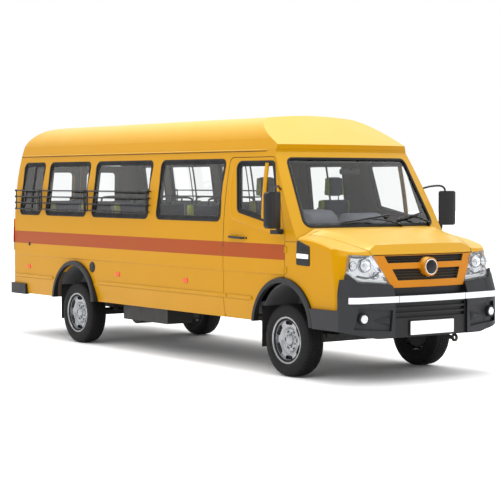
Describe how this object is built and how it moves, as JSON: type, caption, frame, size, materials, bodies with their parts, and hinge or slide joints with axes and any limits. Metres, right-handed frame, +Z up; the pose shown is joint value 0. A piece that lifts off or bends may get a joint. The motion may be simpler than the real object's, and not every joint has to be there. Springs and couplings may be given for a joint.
{
  "type": "bonneted school bus",
  "caption": "Bonneted yellow school bus with hinged bonnet, cab, entry and rear doors, guarded side windows, bench seats, steered front wheels and free-rolling wheels.",
  "frame": {"origin": "on the ground, half way along the bus and on its centre line", "axes": "+X forward along the bus, +Y to its left, +Z up"},
  "size_m": [6.72, 2.43, 2.55],
  "materials": {
    "yellow_paint": "glossy golden-yellow paint",
    "black_plastic": "grained dark grey plastic",
    "grille_plastic": "orange-yellow painted surround with black bars",
    "chassis_black": "black chassis paint",
    "clear_glass": "clear glass",
    "lamp_lens": "clear lamp lens",
    "red_lens": "red lamp lens",
    "floor_vinyl": "grey vinyl",
    "cast_iron": "rough cast",
    "black_rubber": "matt rubber",
    "bar_black": "black paint",
    "seat_fabric": "dark blue woven fabric with olive-green edges",
    "dash_plastic": "grained grey",
    "tyre_rubber": "matt black rubber",
    "silver_wheel": "silver paint"
  },
  "bodies": {
    "body": {"roof": "yellow_paint", "rear_frame": "yellow_paint", "side_wall_right": "yellow_paint", "side_wall_left": "yellow_paint", "windscreen_frame": "yellow_paint", "scuttle": "yellow_paint", "fender_right": "yellow_paint", "fender_left": "yellow_paint", "grille": "grille_plastic", "front_bumper": "black_plastic", "rear_bumper": "black_plastic", "arch_trims": "black_plastic", "headlamps": "lamp_lens", "tail_lamps": "red_lens", "windscreen": "clear_glass", "side_windows": "clear_glass", "chassis_frame": "chassis_black", "floor": "floor_vinyl", "engine": "cast_iron", "driveline": "chassis_black", "fuel_tank": "chassis_black", "front_axle": "chassis_black", "rear_axle": "chassis_black", "mud_flaps": "black_rubber", "window_bars": "bar_black", "passenger_seats": "seat_fabric", "cab_seats": "seat_fabric", "dashboard": "dash_plastic", "wipers": "black_plastic"},
    "bonnet": {"bonnet": "yellow_paint"},
    "door_driver": {"door_driver": "yellow_paint", "door_driver_glass": "clear_glass", "mirror_right": "black_plastic"},
    "door_codriver": {"door_codriver": "yellow_paint", "door_codriver_glass": "clear_glass", "mirror_left": "black_plastic"},
    "door_entry": {"door_entry": "yellow_paint", "door_entry_glass": "clear_glass"},
    "back_door_right": {"back_door_right": "yellow_paint", "back_door_right_glass": "clear_glass"},
    "back_door_left": {"back_door_left": "yellow_paint", "back_door_left_glass": "clear_glass"},
    "steer_right": {"knuckle_right": "chassis_black"},
    "steer_left": {"knuckle_left": "chassis_black"},
    "wheel_front_right": {"tyre_front_right": "tyre_rubber", "rim_front_right": "silver_wheel"},
    "wheel_front_left": {"tyre_front_left": "tyre_rubber", "rim_front_left": "silver_wheel"},
    "wheel_rear_right": {"tyre_rear_right": "tyre_rubber", "rim_rear_right": "silver_wheel"},
    "wheel_rear_left": {"tyre_rear_left": "tyre_rubber", "rim_rear_left": "silver_wheel"}
  },
  "joints": [
    {"name": "bonnet_hinge", "type": "hinge", "parent": "body", "child": "bonnet", "pos_m": [2.42, 0, 1.385], "axis": [0, -1, 0], "range_deg": [0, 45]},
    {"name": "driver_door_hinge", "type": "hinge", "parent": "body", "child": "door_driver", "pos_m": [2.292, -0.953, 1.2], "axis": [0, 0, 1], "range_deg": [0, 65]},
    {"name": "codriver_door_hinge", "type": "hinge", "parent": "body", "child": "door_codriver", "pos_m": [2.292, 0.953, 1.2], "axis": [0, 0, -1], "range_deg": [0, 65]},
    {"name": "entry_door_hinge", "type": "hinge", "parent": "body", "child": "door_entry", "pos_m": [1.097, 0.953, 1.2], "axis": [0, 0, -1], "range_deg": [0, 85]},
    {"name": "back_door_right_hinge", "type": "hinge", "parent": "body", "child": "back_door_right", "pos_m": [-3.323, -0.637, 1.2], "axis": [0, 0, 1], "range_deg": [0, 95]},
    {"name": "back_door_left_hinge", "type": "hinge", "parent": "body", "child": "back_door_left", "pos_m": [-3.323, 0.637, 1.2], "axis": [0, 0, -1], "range_deg": [0, 95]},
    {"name": "steering_right", "type": "hinge", "parent": "body", "child": "steer_right", "pos_m": [2.27, -0.68, 0.352], "axis": [0, 0, 1], "range_deg": [-35, 35]},
    {"name": "steering_left", "type": "hinge", "parent": "body", "child": "steer_left", "pos_m": [2.27, 0.68, 0.352], "axis": [0, 0, 1], "range_deg": [-35, 35]},
    {"name": "roll_front_right", "type": "hinge", "parent": "steer_right", "child": "wheel_front_right", "pos_m": [2.27, -0.816, 0.352], "axis": [0, 1, 0], "continuous": true},
    {"name": "roll_rear_right", "type": "hinge", "parent": "body", "child": "wheel_rear_right", "pos_m": [-1.75, -0.816, 0.352], "axis": [0, 1, 0], "continuous": true},
    {"name": "roll_front_left", "type": "hinge", "parent": "steer_left", "child": "wheel_front_left", "pos_m": [2.27, 0.816, 0.352], "axis": [0, 1, 0], "continuous": true},
    {"name": "roll_rear_left", "type": "hinge", "parent": "body", "child": "wheel_rear_left", "pos_m": [-1.75, 0.816, 0.352], "axis": [0, 1, 0], "continuous": true}
  ],
  "couplings": [
    {"joint": "steering_left", "follows": "steering_right", "ratio": 1}
  ]
}
